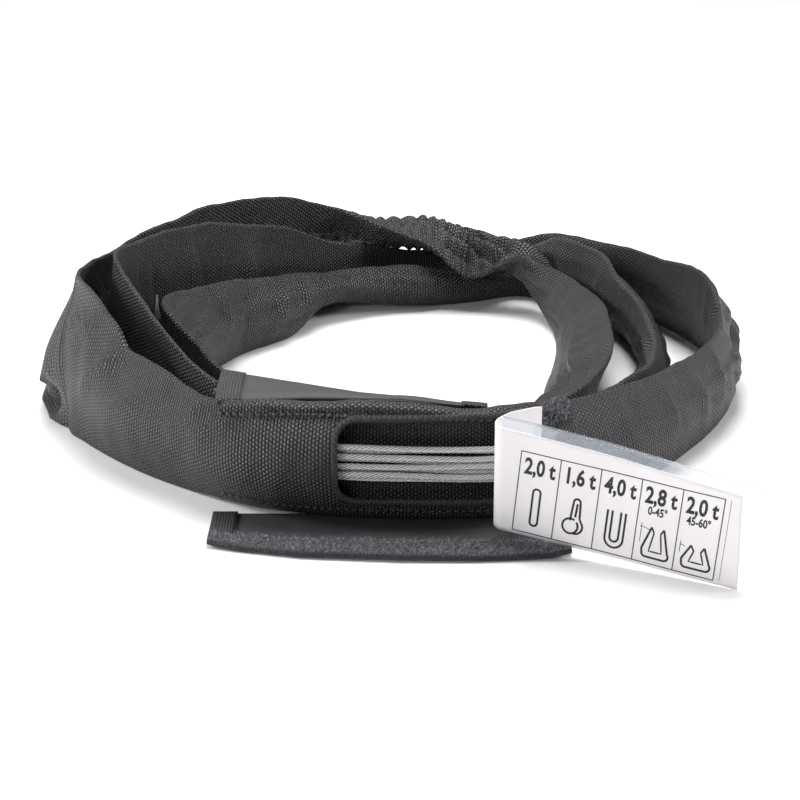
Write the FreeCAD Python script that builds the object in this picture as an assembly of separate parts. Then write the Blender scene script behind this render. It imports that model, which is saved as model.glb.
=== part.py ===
"""Endless round sling with a wire-rope core, coiled in three turns and standing on its edge.

Frame: millimetres, +X to the right along the window, +Y to the back of the coil, +Z up.
Origin: middle of the footprint, on the surface that the sling stands on.
"""
import FreeCAD, Part
import math
import os

os.makedirs("parts", exist_ok=True)
Vector = FreeCAD.Vector

# ---- driving dimensions (mm) ----
SHIFT = Vector(2.9, 24.4, 0.0)    # moves the coil's own centre to the middle of the footprint
SLEEVE_WALL = 1.2                 # woven sleeve
SHOULDER = 0.18                   # where the section rounds over, as a share of its height
SHOULDER_BULGE = 0.66             # bulge there, as a share of the full bulge
ROPE_D = 2.5                      # galvanised wire rope
ROPE_TURNS = 8
ROPE_COLUMN = 1.4                 # half the distance between the two columns of turns
ROW_PACKED = 1.46                 # height between one turn and the next, packed
ROW_SPREAD = 2.1                  # the same, where the turns spread in the window
ARC_SHARE = 0.25                  # share of a run that each tangent arc takes
BUTT_GAP = 0.1                    # between the two butted ends of a turn
WINDOW_X = (-27.0, 58.0)
WINDOW_Z = (12.0, 47.0)
WINDOW_CORNER = 8.0
BINDING_WIDTH = 2.0
BINDING_PROUD = 0.8
FABRIC = 0.8                      # flap panels
PANEL_TOP_OPEN = 47.0             # top of the back panel where no wing covers it
FLAP_X = (-82.0, 72.0)
UPPER_FLAP_X = (-80.0, 38.0)
EDGE_STRIP = 11.0                 # coarse woven strip at each end of the flap
LOWER_HINGE_Y = -165.0
LOWER_FREE_Y = -203.0
UPPER_HINGE = (-150.4, 57.2)      # y, z
UPPER_FREE_Y = -116.0
UPPER_FREE_Z = (52.0, 38.0)       # left end, right end
TAPE_WIDTH = 16.0                  # hook and loop tape
TAPE_THICK = 1.2
TAPE_GAP = 0.9                    # thread and fuzz between the loop tape and its panel
LABEL_THICK = 0.8
FILM_THICK = 0.3
FILM_GAP = 0.35

# Lie of the sleeve, clockwise from above: bottom crease, top crease, outward and inward bulge.
STATIONS = [
    # first turn: window at the front, outside on the left, over the others at the back
    ((78, -147, 1), (72, -136, 47), 9, 6),
    ((44, -160, 1), (42, -156, 51), 11, 5),
    ((0, -162, 1), (0, -159, 53), 12, 5),
    ((-42, -156, 1), (-42, -157, 54), 12, 5),
    ((-76, -141, 1), (-76, -149, 52), 9, 5),
    ((-107, -117, 0), (-101, -126, 55), 7, 6),
    ((-132, -91, 0), (-120, -104, 61), 7, 6),
    ((-151, -66, 0), (-139, -77, 74), 7, 6),
    ((-161, -48, 0), (-153, -50, 78), 6, 6),
    ((-176, -20, 3), (-152, -30, 78), 6, 6),
    ((-170, 12, 2), (-144, 0, 76), 7, 6),
    ((-150, 54, 0), (-128, 42, 76), 7, 6),
    ((-120, 100, 2), (-102, 88, 75), 7, 6),
    ((-92, 138, 12), (-71, 124, 70), 7, 6),
    ((-58, 166, 24), (-37, 151, 58), 6.5, 6.5),
    ((-28, 180, 31), (-8, 149, 45), 6.5, 6.5),
    ((10, 185, 36), (16, 146, 37), 6, 6),
    ((42, 178, 37), (38, 139, 20), 6.5, 6),
    ((62, 162, 32), (54, 136, 26), 6, 6),
    ((74, 146, 15), (66, 132, 34), 6, 6),
    # second turn: inside on the right, inside at the front and on the left
    ((82, 120, 2), (80, 128, 30), 6, 6),
    ((85, 98, 0), (94, 108, 29), 6, 6),
    ((84, 67, 0), (106, 72, 29), 6, 6),
    ((79, 30, 0), (107, 30, 32), 6, 6),
    ((73, -2, 0), (106, -8, 33), 6, 6),
    ((72, -42, 0), (100, -46, 34), 6, 6),
    ((60, -84, 0), (80, -88, 33), 6, 6),
    ((34, -112, 0), (40, -118, 32), 6, 6),
    ((0, -120, 0), (0, -123, 35), 6, 6),
    ((-38, -114, 0), (-40, -118, 38), 6, 6),
    ((-72, -92, 0), (-76, -98, 44), 6, 6),
    ((-92, -58, 0), (-96, -64, 49), 6, 6),
    ((-104, -18, 0), (-116, -20, 55), 6, 6),
    ((-102, 20, 0), (-106, 22, 50), 6, 6),
    ((-86, 60, 0), (-86, 62, 41), 6, 6),
    ((-60, 92, 0), (-62, 102, 33), 6, 6),
    ((-42, 120, 9), (-40, 126, 27), 6, 6),
    ((-16, 138, 5), (-16, 138, 26), 6, 6),
    ((12, 144, 2), (12, 146, 25), 6, 6),
    ((41, 156, 0), (41, 158, 18), 7, 6.5),
    ((68, 167, 0), (68, 167, 26), 6.5, 5.5),
    ((93, 150, 0), (89, 147, 41), 6, 6),
    ((112, 117, 0), (107, 110, 44), 6, 6),
    ((125, 76, 0), (116, 70, 40), 6, 6),
    ((130, 34, 0), (124, 28, 37), 6, 6),
    ((129, -12, 0), (125, -16, 35), 6, 6),
    ((118, -56, 0), (118, -58, 36), 6, 6),
    ((94, -94, 0), (96, -94, 37), 6, 6),
    # third turn: in the middle at the front and on the left, outside on the right
    ((48, -130, 0), (48, -132, 34), 6, 6),
    ((0, -139, 0), (0, -140, 38), 6, 6),
    ((-46, -133, 0), (-46, -136, 43), 6, 6),
    ((-80, -115, 0), (-80, -121, 49), 6, 6),
    ((-106, -88, 0), (-103, -95, 59), 6, 6),
    ((-124, -60, 0), (-118, -66, 67), 6, 6),
    ((-141, -20, 0), (-138, -22, 80), 6, 6),
    ((-140, 14, 0), (-128, 12, 78), 6, 6),
    ((-122, 48, 0), (-112, 46, 75), 6, 6),
    ((-96, 86, 0), (-90, 80, 68), 6, 6),
    ((-70, 122, 0), (-64, 112, 57), 6, 6),
    ((-42, 150, 0), (-36, 138, 41), 6, 6),
    ((-10, 162, 0), (-8, 161, 27), 6, 6),
    ((36, 176, 0), (38, 176, 21), 6, 6),
    ((70, 185, 0), (68, 184, 30), 6, 6),
    ((97, 172, 0), (93, 166, 37), 6, 6),
    ((130, 137, 0), (125, 126, 41), 6, 6),
    ((156, 88, 0), (150, 78, 46), 6, 6),
    ((168, 42, 0), (159, 40, 49), 6, 6),
    ((166, -4, 0), (160, -2, 42), 6, 6),
    ((158, -34, 0), (153, -34, 43), 6, 6),
    ((141, -70, 0), (134, -70, 43), 7, 6),
    ((112, -114, 0), (103, -110, 44), 8, 6),
]
WINDOW_STATIONS = (-1, 0, 1, 2, 3, 4, 5)    # stretch that the window and the flap cover
FERRULE_STATION = 28
TIE_STATIONS = (10, 44, 55)

# Tag, from the sewn end to the free end: x, y, lower and upper edge.
LABEL_STATIONS = [
    (71, -156.0, 34, 51),
    (58, -166.0, 20, 54),
    (47, -175.0, 10, 55),
    (41.5, -179.8, 8, 54),
    (40, -182.6, 7, 53),
    (42, -185.2, 6, 52),
    (55, -191.0, 5, 51),
    (84, -205.5, 3, 48),
    (114, -221.0, 1, 44),
    (137, -233.0, 0, 41),
    (145, -237.0, 0, 40),
]


def export(node, shape):
    """Write one node in the object's frame."""
    shape = shape.copy()
    shape.translate(SHIFT)
    if not shape.isValid():
        print("INVALID", node)
    shape.exportStep(f"parts/{node}.step")
    box = shape.BoundBox
    print(f"{node:24s} solids {len(shape.Solids)} volume {shape.Volume:10.1f}"
          f"  x {box.XMin:7.1f} {box.XMax:7.1f}  y {box.YMin:7.1f} {box.YMax:7.1f}"
          f"  z {box.ZMin:6.1f} {box.ZMax:6.1f}")


def frame_at(index):
    """Middle, up vector, outward vector and half height of the sleeve at one station."""
    count = len(STATIONS)
    low, high = (Vector(*STATIONS[index % count][k]) for k in (0, 1))
    middle = (low + high) * 0.5
    before = STATIONS[(index - 1) % count]
    after = STATIONS[(index + 1) % count]
    ahead = (Vector(*after[0]) + Vector(*after[1]) - Vector(*before[0]) - Vector(*before[1]))
    ahead.normalize()
    up = high - low
    half = up.Length / 2
    up.normalize()
    outward = up.cross(ahead)
    outward.normalize()
    return middle, up, outward, half


def section(index, grow):
    """Eight corners of the sleeve's section, grown or shrunk by a wall."""
    middle, up, outward, half = frame_at(index)
    out_bulge, in_bulge = STATIONS[index % len(STATIONS)][2:]
    shoulder = half * (1 - 2 * SHOULDER)
    tip = half + grow * 1.3
    out_full, in_full = out_bulge + grow, in_bulge + grow
    out_part = out_bulge * SHOULDER_BULGE + grow
    in_part = in_bulge * SHOULDER_BULGE + grow
    corners = ((-tip, 0), (-shoulder, out_part), (0, out_full), (shoulder, out_part),
               (tip, 0), (shoulder, -in_part), (0, -in_full), (-shoulder, -in_part))
    return [middle + up * a + outward * b for a, b in corners]


def triangle(a, b, c):
    """One flat face."""
    return Part.Face(Part.makePolygon([a, b, c, a]))


def skin(rings, closed):
    """Closed solid through a row of rings of corners."""
    faces = []
    pairs = list(zip(rings, rings[1:]))
    if closed:
        pairs.append((rings[-1], rings[0]))
    for first, second in pairs:
        count = len(first)
        for k in range(count):
            a, b = first[k], first[(k + 1) % count]
            c, d = second[(k + 1) % count], second[k]
            faces.append(triangle(a, b, c))
            faces.append(triangle(a, c, d))
    if not closed:
        for ring in (rings[0], rings[-1]):
            centre = sum(ring[1:], ring[0]) * (1.0 / len(ring))
            for k in range(len(ring)):
                faces.append(triangle(ring[k], ring[(k + 1) % len(ring)], centre))
    solid = Part.Solid(Part.Shell(faces))
    if solid.Volume < 0:
        solid.reverse()
    return solid


def sleeve_skin(grow, stations=None):
    """Solid of the sleeve's outline, whole or over some stations, grown by a wall."""
    closed = stations is None
    chosen = range(len(STATIONS)) if closed else stations
    return skin([section(i, grow) for i in chosen], closed)


def rounded_slot(x_range, z_range, radius, y_low, y_high):
    """Block with rounded corners that runs along Y."""
    x0, x1 = x_range
    z0, z1 = z_range
    block = Part.makeBox(x1 - x0, y_high - y_low, z1 - z0, Vector(x0, y_low, z0))
    edges = [e for e in block.Edges if abs(e.tangentAt(e.FirstParameter).y) > 0.9]
    return block.makeFillet(radius, edges)


def front_skin(gap, proud, y_high=-158):
    """Thin layer just outside the sleeve's front face."""
    outer = sleeve_skin(proud, WINDOW_STATIONS)
    layer = outer.cut(sleeve_skin(gap, WINDOW_STATIONS))
    return layer.common(Part.makeBox(170, 60, 80, Vector(-90, y_high - 60, -5)))


def plate(corners_low, thickness):
    """Sheet of a given thickness on top of a row of (front, back) point pairs."""
    up = Vector(0, 0, thickness)
    rings = [[front, back, back + up, front + up] for front, back in corners_low]
    return skin(rings, False)


def largest(shape):
    """The biggest solid of a shape."""
    return max(shape.Solids, key=lambda s: s.Volume)


# ---- sleeve ----
def make_sleeve():
    tube = sleeve_skin(0.0).cut(sleeve_skin(-SLEEVE_WALL))
    window = rounded_slot(WINDOW_X, WINDOW_Z, WINDOW_CORNER, -190, -164)
    return largest(tube.cut(window))


def make_window_binding():
    outer = rounded_slot((WINDOW_X[0] - BINDING_WIDTH, WINDOW_X[1] + BINDING_WIDTH),
                         (WINDOW_Z[0] - BINDING_WIDTH, WINDOW_Z[1] + BINDING_WIDTH),
                         WINDOW_CORNER + BINDING_WIDTH, -190, -158)
    inner = rounded_slot(WINDOW_X, WINDOW_Z, WINDOW_CORNER, -191, -157)
    ring = front_skin(0.02, BINDING_PROUD).common(outer.cut(inner))
    return largest(ring)


# ---- core ----
def rope_points(turn):
    """Corners of one rope turn's route inside the sleeve."""
    points = []
    column = ROPE_COLUMN if turn % 2 else -ROPE_COLUMN
    row = turn - (ROPE_TURNS - 1) / 2
    for i in range(len(STATIONS)):
        middle, up, outward, half = frame_at(i)
        spread = i in (0, 1, 2, 3)
        pitch = ROW_SPREAD if spread else ROW_PACKED
        rise = row * pitch
        if i in (FERRULE_STATION, FERRULE_STATION + 1) and turn == ROPE_TURNS - 1:
            rise += ROPE_D * 0.7
        out_bulge, in_bulge = STATIONS[i][2:]
        lead = (out_bulge - in_bulge) / 2
        points.append(middle + up * rise + outward * (column + lead))
    return points


def rounded_path(points):
    """Straight runs joined by tangent arcs, with the two ends butted on the ferrule's run."""
    count = len(points)
    arcs = []
    for i, corner in enumerate(points):
        back, ahead = points[i - 1] - corner, points[(i + 1) % count] - corner
        reach = ARC_SHARE * min(back.Length, ahead.Length)
        back.normalize()
        ahead.normalize()
        turn = math.pi - back.getAngle(ahead)
        if turn < 0.002:
            arcs.append((corner, None, corner))
            continue
        radius = reach / math.tan(turn / 2)
        inward = back + ahead
        inward.normalize()
        middle = corner + inward * (math.hypot(radius, reach) - radius)
        arcs.append((corner + back * reach, middle, corner + ahead * reach))
    first = FERRULE_STATION + 1
    order = [(first + k) % count for k in range(count)]
    start, end = arcs[order[-1]][2], arcs[first][0]
    butt = start + (end - start) * 0.5
    gap = (end - start).normalize() * BUTT_GAP / 2
    edges = [Part.LineSegment(butt + gap, arcs[first][0]).toShape()]
    for i in order:
        start, middle, end = arcs[i]
        following = butt - gap if i == order[-1] else arcs[(i + 1) % count][0]
        if middle is not None:
            edges.append(Part.Arc(start, middle, end).toShape())
        edges.append(Part.LineSegment(end, following).toShape())
    return Part.Wire(edges)


def sweep_round(path, diameter):
    """Round bar along a wire."""
    first = path.Edges[0]
    start = first.valueAt(first.FirstParameter)
    ring = Part.Wire(Part.makeCircle(diameter / 2, start, first.tangentAt(first.FirstParameter)))
    return path.makePipeShell([ring], True, False)


def make_rope_turn(turn):
    path = rounded_path(rope_points(turn))
    rope = sweep_round(path, ROPE_D)
    expected = math.pi * ROPE_D ** 2 / 4 * path.Length
    print(f"rope turn {turn + 1}: length {path.Length:.0f} volume ratio {rope.Volume / expected:.4f}")
    return rope


def make_core_tie(station):
    """Band of tape round the bundle, on the run after a station."""
    start, end = (frame_at(station + k) for k in (0, 1))
    along = end[0] - start[0]
    run = along.Length
    along.normalize()
    up = start[1] + end[1]
    side = up.cross(along)
    side.normalize()
    up = along.cross(side)
    high = ROW_PACKED * (ROPE_TURNS - 1) / 2 + ROPE_D / 2 + 0.35
    wide = ROPE_COLUMN + ROPE_D / 2 + 0.35
    out_bulge, in_bulge = STATIONS[station][2:]
    outward = (start[2] + end[2]).normalize()
    at = start[0] + along * (run / 2 - 6) + outward * ((out_bulge - in_bulge) / 2)
    shells = []
    for grow in (0.5, 0.0):
        ring = [at + up * a * (high + grow) + side * b * (wide + grow)
                for a, b in ((-1, -1), (-1, 1), (1, 1), (1, -1))]
        face = Part.Face(Part.makePolygon(ring + [ring[0]]))
        shells.append(face.extrude(along * 12))
    return shells[0].cut(shells[1])


def make_end_ferrule():
    """Pressed sleeve on the end turn, where the rope's two ends meet."""
    points = rope_points(ROPE_TURNS - 1)
    a, b = points[FERRULE_STATION], points[FERRULE_STATION + 1]
    along = b - a
    start = a + along * 0.33
    along.normalize()
    outer = Part.makeCylinder(ROPE_D * 0.78, 12, start, along)
    bore = Part.makeCylinder(ROPE_D / 2 + 0.02, 14, start - along, along)
    return outer.cut(bore)


# ---- flap ----
def back_line(x):
    """Depth of the flap's back panel, just behind the window leg."""
    return -151.2 + (0.0045 if x > 0 else 0.0030) * x * x


def back_top(x):
    """Height of the back panel, which stays under the upper wing."""
    left, right = UPPER_FLAP_X
    if x > right:
        return PANEL_TOP_OPEN
    free_z = UPPER_FREE_Z[0] + (UPPER_FREE_Z[1] - UPPER_FREE_Z[0]) * (x - left) / (right - left)
    slope = (free_z - UPPER_HINGE[1]) / (UPPER_FREE_Y - UPPER_HINGE[0])
    return UPPER_HINGE[1] - 1.2 + slope * max(back_line(x) + FABRIC - UPPER_HINGE[0], 0)


def make_flap_back_panel():
    """Panel behind the window leg, with a tongue under it to the lower fold."""
    xs = [FLAP_X[0] + (FLAP_X[1] - FLAP_X[0]) * k / 12 for k in range(13)]
    rings = [[Vector(x, back_line(x), 0), Vector(x, back_line(x) + FABRIC, 0),
              Vector(x, back_line(x) + FABRIC, back_top(x)), Vector(x, back_line(x), back_top(x))]
             for x in xs]
    wall = skin(rings, False)
    tongue = plate([(Vector(x, LOWER_HINGE_Y + 0.5, 0), Vector(x, back_line(x) + FABRIC / 2, 0))
                    for x in xs], FABRIC)
    return wall.fuse(tongue)


def lower_plate(x0, x1, y0, y1, z0, thickness):
    """Flat rectangle of the lower wing."""
    return Part.makeBox(x1 - x0, y1 - y0, thickness, Vector(x0, y0, z0))


def make_lower_wing():
    """Panel, end strips, hem and hook tape of the wing that lies on the ground."""
    x0, x1 = FLAP_X
    inner0, inner1 = x0 + EDGE_STRIP, x1 - EDGE_STRIP
    y1, y0 = LOWER_HINGE_Y - 0.5, LOWER_FREE_Y
    hem = TAPE_WIDTH + 2
    return {
        "flap_lower_panel": lower_plate(inner0, inner1, y0 + hem, y1, 0, FABRIC),
        "flap_lower_strip_left": lower_plate(x0, inner0, y0 + hem, y1, 0, FABRIC),
        "flap_lower_strip_right": lower_plate(inner1, x1, y0 + hem, y1, 0, FABRIC),
        "flap_lower_hem": lower_plate(x0 - 1, x1 + 1, y0 - 1, y0 + hem, 0, FABRIC * 2),
        "hook_tape": lower_plate(x0, x1, y0, y0 + TAPE_WIDTH, FABRIC * 2, TAPE_THICK),
    }


def upper_point(x, share, below=0.0):
    """Point on the upper wing, from the fold (0) to the free edge (1)."""
    reach = (x - UPPER_FLAP_X[0]) / (UPPER_FLAP_X[1] - UPPER_FLAP_X[0])
    free_z = UPPER_FREE_Z[0] + (UPPER_FREE_Z[1] - UPPER_FREE_Z[0]) * reach
    y = UPPER_HINGE[0] + 0.8 + (UPPER_FREE_Y - UPPER_HINGE[0] - 0.8) * share
    z = UPPER_HINGE[1] - 0.4 + (free_z - UPPER_HINGE[1]) * share
    return Vector(x, y, z - below)


def upper_plate(x0, x1, share0, share1, below, thickness):
    """Part of the upper wing, slightly twisted along its length."""
    xs = [x0 + (x1 - x0) * k / 6 for k in range(7)]
    return plate([(upper_point(x, share0, below), upper_point(x, share1, below)) for x in xs],
                 thickness)


def make_upper_wing():
    x0, x1 = UPPER_FLAP_X
    inner0, inner1 = x0 + EDGE_STRIP, x1 - EDGE_STRIP
    return {
        "flap_upper_panel": upper_plate(inner0, inner1, 0, 1, 0, FABRIC),
        "flap_upper_strip_left": upper_plate(x0, inner0, 0, 1, 0, FABRIC),
        "flap_upper_strip_right": upper_plate(inner1, x1, 0, 1, 0, FABRIC),
        "loop_tape": upper_plate(x0 + 8, x1 - 1, 0.52, 0.97, TAPE_THICK + TAPE_GAP, TAPE_THICK),
    }


def make_stitch_rows(x0, x1, heights, pitch, size):
    """Rows of thread on the sleeve's front face."""
    layer = front_skin(0.02, size)
    stitches = []
    x = x0
    while x + pitch * 0.7 < x1:
        for z in heights:
            stitches.append(Part.makeBox(pitch * 0.7, 60, size, Vector(x, -200, z)))
        x += pitch
    kept = layer.common(Part.makeCompound(stitches))
    return Part.makeCompound([s for s in kept.Solids if s.Volume > 0.02])


# ---- tag ----
def label_sheet(gap, thickness, grow_low, grow_high, last_x):
    """Standing strip along the tag's route, gap in front of its back face."""
    rings = []
    stations = [s for s in LABEL_STATIONS if s[0] <= last_x]
    for i, (x, y, low, high) in enumerate(stations):
        a, b = stations[max(i - 1, 0)], stations[min(i + 1, len(stations) - 1)]
        along = Vector(b[0] - a[0], b[1] - a[1], 0)
        along.normalize()
        side = Vector(along.y, -along.x, 0)
        base = Vector(x, y, 0)
        near, far = base + side * gap, base + side * (gap + thickness)
        foot, head = Vector(0, 0, low - grow_low), Vector(0, 0, high + grow_high)
        rings.append([near + foot, far + foot, far + head, near + head])
    return skin(rings, False)


def make_label_patch():
    layer = front_skin(0.02, 1.4, -138)
    return largest(layer.common(Part.makeBox(14, 90, 8, Vector(61, -200, 39))))


def build():
    export("sleeve", make_sleeve())
    export("window_binding", make_window_binding())
    export("hem_thread", make_stitch_rows(-78, 38, (50.4,), 5.0, 0.6))
    export("flap_thread", make_stitch_rows(-78, 60, (5.0,), 5.0, 0.6))
    for turn in range(ROPE_TURNS):
        export(f"rope_turn_{turn + 1}", make_rope_turn(turn))
    for number, station in enumerate(TIE_STATIONS, 1):
        export(f"core_tie_{number}", make_core_tie(station))
    export("end_ferrule", make_end_ferrule())
    export("flap_back_panel", make_flap_back_panel())
    for node, shape in {**make_lower_wing(), **make_upper_wing()}.items():
        export(node, shape)
    export("label_patch", make_label_patch())
    export("label_strip", label_sheet(0.0, LABEL_THICK, 0, 0, 140))
    export("label_film", label_sheet(LABEL_THICK + FILM_GAP, FILM_THICK, 0, 6, 150))


build()
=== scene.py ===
"""Endless round sling with a wire-rope core: the looks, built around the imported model."""
import math

import bmesh
import bpy
import numpy as np
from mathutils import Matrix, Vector
from mathutils.bvhtree import BVHTree


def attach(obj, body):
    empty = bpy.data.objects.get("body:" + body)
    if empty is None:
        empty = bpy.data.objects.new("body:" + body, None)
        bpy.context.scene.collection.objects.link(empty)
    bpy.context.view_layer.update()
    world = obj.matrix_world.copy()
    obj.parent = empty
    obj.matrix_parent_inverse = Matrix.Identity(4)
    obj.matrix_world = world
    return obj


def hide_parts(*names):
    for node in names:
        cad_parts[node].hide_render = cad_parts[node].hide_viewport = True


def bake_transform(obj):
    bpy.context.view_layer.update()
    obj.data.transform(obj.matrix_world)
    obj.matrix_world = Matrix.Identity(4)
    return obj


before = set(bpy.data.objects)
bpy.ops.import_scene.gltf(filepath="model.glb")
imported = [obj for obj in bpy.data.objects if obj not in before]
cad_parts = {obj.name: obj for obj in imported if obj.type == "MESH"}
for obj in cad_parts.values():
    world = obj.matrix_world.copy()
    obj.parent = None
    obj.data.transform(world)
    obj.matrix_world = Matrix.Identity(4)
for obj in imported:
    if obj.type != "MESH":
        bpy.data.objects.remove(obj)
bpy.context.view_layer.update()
bpy.ops.object.select_all(action="DESELECT")


# Sleeve: one endless tube of coarse woven polyester, 80 mm wide when flat, laid in three
# turns that stand on edge. The cloth is woven as a tube, so it has a fold at the top and at
# the bottom and no seam; it is gathered where one turn crosses over the other two.
MM = 0.001
COIL = np.array([2.9, 24.4, 0.0])     # middle of the coil, from the middle of the footprint


class Sockets:
    """Writes shader maths as Python: a socket with operators, for numbers only."""

    def __init__(self, tree, socket):
        self.tree, self.socket = tree, socket

    def math(self, operation, *values):
        node = self.tree.nodes.new("ShaderNodeMath")
        node.operation = operation
        for slot, value in zip(node.inputs, (self,) + values):
            if isinstance(value, Sockets):
                self.tree.links.new(value.socket, slot)
            else:
                slot.default_value = value
        return Sockets(self.tree, node.outputs[0])

    def __add__(self, other):
        return self.math("ADD", other)

    def __sub__(self, other):
        return self.math("SUBTRACT", other)

    def __mul__(self, other):
        return self.math("MULTIPLY", other)

    def __truediv__(self, other):
        return self.math("DIVIDE", other)

    def __pow__(self, other):
        return self.math("POWER", other)

    def __rsub__(self, other):
        return (self * -1.0) + other

    __radd__ = __add__
    __rmul__ = __mul__


class Finish:
    """A material and its nodes."""

    def __init__(self, name, roughness=0.7, **sockets):
        self.material = bpy.data.materials.new(name)
        self.material.use_nodes = True
        self.tree = self.material.node_tree
        self.shader = self.tree.nodes["Principled BSDF"]
        self.shader.inputs["Roughness"].default_value = roughness
        for key, value in sockets.items():
            self.shader.inputs[key.replace("_", " ")].default_value = value

    def node(self, kind, settings=None, sockets=None, out=0):
        node = self.tree.nodes.new(kind)
        for key, value in (settings or {}).items():
            setattr(node, key, value)
        for key, value in (sockets or {}).items():
            if isinstance(value, Sockets):
                self.tree.links.new(value.socket, node.inputs[key])
            else:
                node.inputs[key].default_value = value
        return Sockets(self.tree, node.outputs[out])

    def uv(self, name):
        """The two coordinates of a map that is laid out in metres."""
        place = self.node("ShaderNodeUVMap", {"uv_map": name})
        return [self.node("ShaderNodeSeparateXYZ", None, {0: place}, k) for k in (0, 1)]

    def noise(self, scale, detail=2.0, where=None, roughness=0.5):
        where = where or self.node("ShaderNodeTexCoord", out=3)
        return self.node("ShaderNodeTexNoise", None,
                         {"Vector": where, "Scale": scale, "Detail": detail,
                          "Roughness": roughness})

    def mix(self, factor, first, second):
        return self.node("ShaderNodeMix", {"data_type": "RGBA"},
                         {0: factor, 6: (*first, 1) if isinstance(first, tuple) else first,
                          7: (*second, 1) if isinstance(second, tuple) else second}, 2)

    def put(self, socket, value):
        self.tree.links.new(value.socket, self.shader.inputs[socket])

    def relief(self, height, depth, strength=1.0):
        self.put("Normal", self.node("ShaderNodeBump", None,
                                     {"Height": height, "Distance": depth, "Strength": strength}))


def woven(name, along, across, gap_shade, light, depth, roughness, crown=0.65):
    """Plain weave: rows of thread crowns, each row half a pitch on from the one before. The crowns are
    painted light as glint and the gaps between them painted dark as shade.
    """
    cloth = Finish(name, roughness, Specular_IOR_Level=0.6)
    v, u = cloth.uv("weave")
    wander = cloth.noise(90.0, 1.0) - 0.5
    u = u / along + wander * 0.35
    v = v / across + wander * 0.35
    row = v.math("FLOOR").math("MODULO", 2.0).math("ABSOLUTE")
    dots = ((u * 2.0 + row) * math.pi).math("COSINE") * 0.5 + 0.5
    ridge = (v * math.pi).math("SINE").math("ABSOLUTE")
    crowns = (ridge ** 0.7) * (dots * crown + (1 - crown))
    patches = cloth.noise(28.0, 3.0)
    # Base colour: painted glint on the thread crowns and painted shade in the gaps between them; the
    # patches vary the tone at random.
    cloth.put("Base Color", cloth.mix((crowns ** 1.7) * (patches * 0.7 + 0.55), gap_shade, light))
    cloth.put("Roughness", (1 - crowns) * 0.3 + roughness)
    cloth.relief(crowns, depth)
    return cloth.material


# Sleeve cloth: purplish black, with painted shade for the gaps and painted glint for the crowns.
sleeve_cloth = woven("sleeve_cloth", 0.0020, 0.0015, (0.0008, 0.0007, 0.0009),
                     (0.098, 0.084, 0.098), 0.0011, 0.33)

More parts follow.
